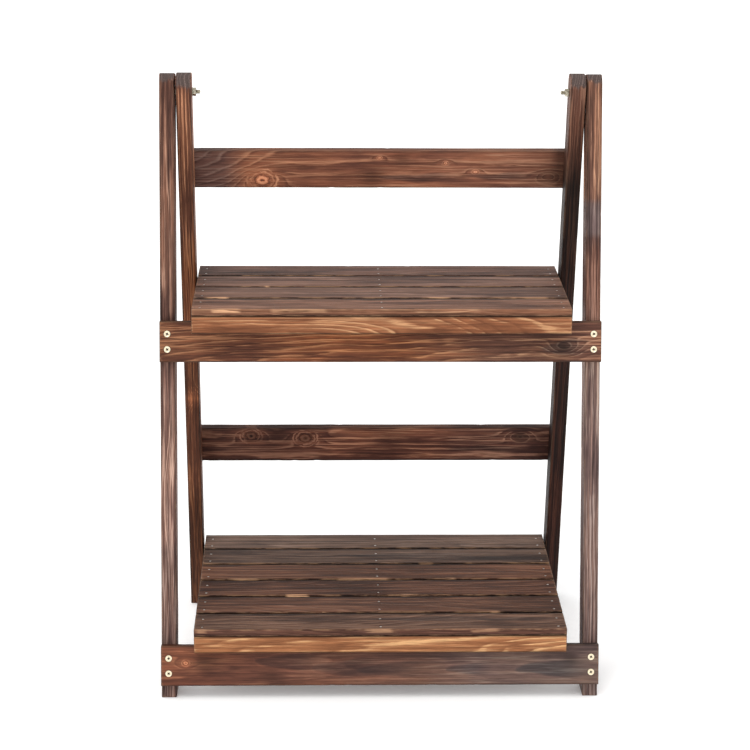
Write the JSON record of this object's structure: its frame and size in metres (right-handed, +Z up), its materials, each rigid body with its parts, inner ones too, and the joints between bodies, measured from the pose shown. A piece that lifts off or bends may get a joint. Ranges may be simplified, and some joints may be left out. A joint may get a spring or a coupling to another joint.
{
  "type": "folding plant stand",
  "caption": "Free-standing A-frame wooden plant stand with slatted shelves that lift as the hinged leg frames fold flat.",
  "frame": {"origin": "on the floor under the middle of the open stand's outline", "axes": "+X to the right seen from the front, +Y from the front frame to the back frame, +Z up"},
  "size_m": [0.6, 0.3814, 0.8348],
  "materials": {
    "leg_wood": "carbonised fir, brushed grain, thin oil",
    "rail_wood": "carbonised fir, brushed grain, thin oil",
    "slat_wood": "carbonised fir, brushed grain, thin oil",
    "lip_wood": "lightly carbonised fir, brushed grain",
    "batten_wood": "carbonised fir, sawn",
    "zinc_steel": "yellow zinc plated",
    "nail_steel": "bare steel, dull"
  },
  "bodies": {
    "back_frame": {"back_leg_left": "leg_wood", "back_leg_right": "leg_wood", "back_rail_lower": "rail_wood", "back_rail_lower_screws": "zinc_steel", "back_rail_upper": "rail_wood", "back_rail_upper_screws": "zinc_steel"},
    "front_frame": {"front_leg_left": "leg_wood", "front_leg_right": "leg_wood", "front_rail_lower": "rail_wood", "front_rail_lower_screws": "zinc_steel", "front_rail_upper": "rail_wood", "front_rail_upper_screws": "zinc_steel", "pivot_bolts": "zinc_steel", "pivot_end_washers": "zinc_steel", "pivot_nuts": "zinc_steel", "pivot_spacer_washers": "zinc_steel"},
    "lower_shelf": {"lower_batten_left": "batten_wood", "lower_batten_middle": "batten_wood", "lower_batten_right": "batten_wood", "lower_front_lip": "lip_wood", "lower_shelf_pivot_screws": "zinc_steel", "lower_shelf_washers": "zinc_steel", "lower_slat_1": "slat_wood", "lower_slat_2": "slat_wood", "lower_slat_3": "slat_wood", "lower_slat_4": "slat_wood", "lower_slat_5": "slat_wood", "lower_slat_6": "slat_wood", "lower_slat_nails": "nail_steel"},
    "upper_shelf": {"upper_batten_left": "batten_wood", "upper_batten_middle": "batten_wood", "upper_batten_right": "batten_wood", "upper_front_lip": "lip_wood", "upper_shelf_pivot_screws": "zinc_steel", "upper_shelf_washers": "zinc_steel", "upper_slat_1": "slat_wood", "upper_slat_2": "slat_wood", "upper_slat_3": "slat_wood", "upper_slat_4": "slat_wood", "upper_slat_nails": "nail_steel"}
  },
  "joints": [
    {"name": "leg_frame_fold", "type": "hinge", "parent": "back_frame", "child": "front_frame", "pos_m": [0, 0.00674, 0.809], "axis": [1, 0, 0], "range_deg": [0, 22.5]},
    {"name": "lower_shelf_lift", "type": "hinge", "parent": "back_frame", "child": "lower_shelf", "pos_m": [0, 0.15328, 0.08873], "axis": [-1, 0, 0], "range_deg": [0, 78.5]},
    {"name": "upper_shelf_lift", "type": "hinge", "parent": "back_frame", "child": "upper_shelf", "pos_m": [0, 0.06458, 0.5247], "axis": [-1, 0, 0], "range_deg": [0, 78.5]}
  ],
  "couplings": [
    {"joint": "lower_shelf_lift", "follows": "leg_frame_fold", "ratio": 3.4889},
    {"joint": "upper_shelf_lift", "follows": "leg_frame_fold", "ratio": 3.4889}
  ]
}
